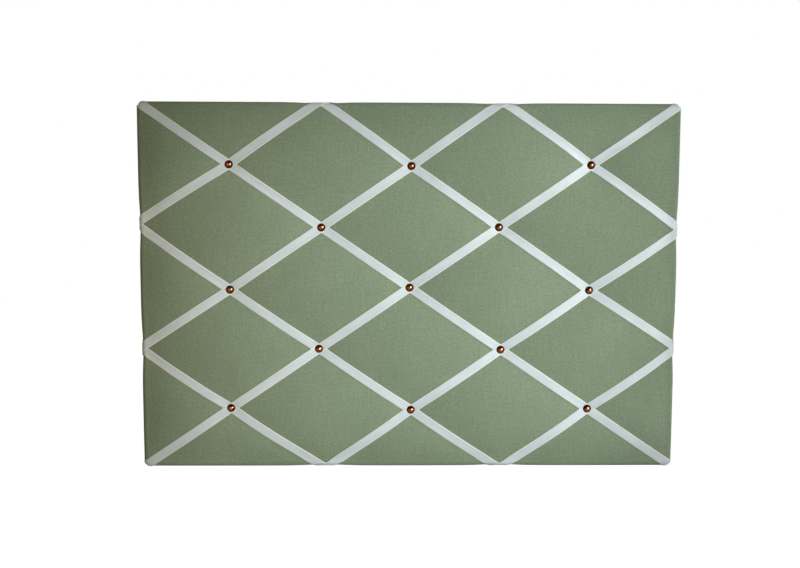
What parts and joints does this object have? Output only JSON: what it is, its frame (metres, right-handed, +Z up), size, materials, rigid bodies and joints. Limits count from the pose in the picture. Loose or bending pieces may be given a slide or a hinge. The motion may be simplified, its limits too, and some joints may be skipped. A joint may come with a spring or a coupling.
{
  "type": "french memo board",
  "caption": "Rectangular padded cloth board with a diamond lattice of satin ribbons held down by domed nails, for tucking in notes and photos. Hangs on rings at the back.",
  "frame": {"origin": "middle of the back panel's rear face, which faces the wall", "axes": "+X right seen from the front, +Y into the wall, +Z up"},
  "size_m": [0.6162, 0.0291, 0.4226],
  "materials": {
    "core": "raw fibreboard",
    "wadding": "loose wadding",
    "cloth": "plain weave, matt",
    "satin": "satin",
    "copper": "polished copper plate",
    "staple_wire": "galvanised",
    "panel": "smooth hardboard",
    "pin": "bright wire",
    "hanger": "nickel plate",
    "ring": "nickel plate",
    "screw": "zinc plate"
  },
  "bodies": {
    "board": {"core_board": "core", "wadding": "wadding", "fabric_cover": "cloth", "ribbon_falling_1": "satin", "ribbon_falling_2": "satin", "ribbon_falling_3": "satin", "ribbon_falling_4": "satin", "ribbon_falling_5": "satin", "ribbon_rising_1": "satin", "ribbon_rising_2": "satin", "ribbon_rising_3": "satin", "ribbon_rising_4": "satin", "ribbon_rising_5": "satin", "nail_1": "copper", "nail_2": "copper", "nail_3": "copper", "nail_4": "copper", "nail_5": "copper", "nail_6": "copper", "nail_7": "copper", "nail_8": "copper", "nail_9": "copper", "nail_10": "copper", "nail_11": "copper", "nail_12": "copper", "nail_13": "copper", "staple_1": "staple_wire", "staple_2": "staple_wire", "staple_3": "staple_wire", "staple_4": "staple_wire", "staple_5": "staple_wire", "staple_6": "staple_wire", "staple_7": "staple_wire", "staple_8": "staple_wire", "staple_9": "staple_wire", "staple_10": "staple_wire", "staple_11": "staple_wire", "staple_12": "staple_wire", "staple_13": "staple_wire", "staple_14": "staple_wire", "staple_15": "staple_wire", "staple_16": "staple_wire", "staple_17": "staple_wire", "staple_18": "staple_wire", "staple_19": "staple_wire", "staple_20": "staple_wire", "back_panel": "panel", "panel_pin_1": "pin", "panel_pin_2": "pin", "panel_pin_3": "pin", "panel_pin_4": "pin", "panel_pin_5": "pin", "panel_pin_6": "pin", "left_hanger_strap": "hanger", "right_hanger_strap": "hanger", "left_hanger_screw": "screw", "right_hanger_screw": "screw"},
    "left_ring": {"left_hanging_ring": "ring"},
    "right_ring": {"right_hanging_ring": "ring"}
  },
  "joints": [
    {"name": "left_ring_swing", "type": "hinge", "parent": "board", "child": "left_ring", "pos_m": [-0.15, 0.00245, 0.1344], "axis": [-1, 0, 0], "range_deg": [0, 175]},
    {"name": "right_ring_swing", "type": "hinge", "parent": "board", "child": "right_ring", "pos_m": [0.15, 0.00245, 0.1344], "axis": [-1, 0, 0], "range_deg": [0, 175]}
  ]
}
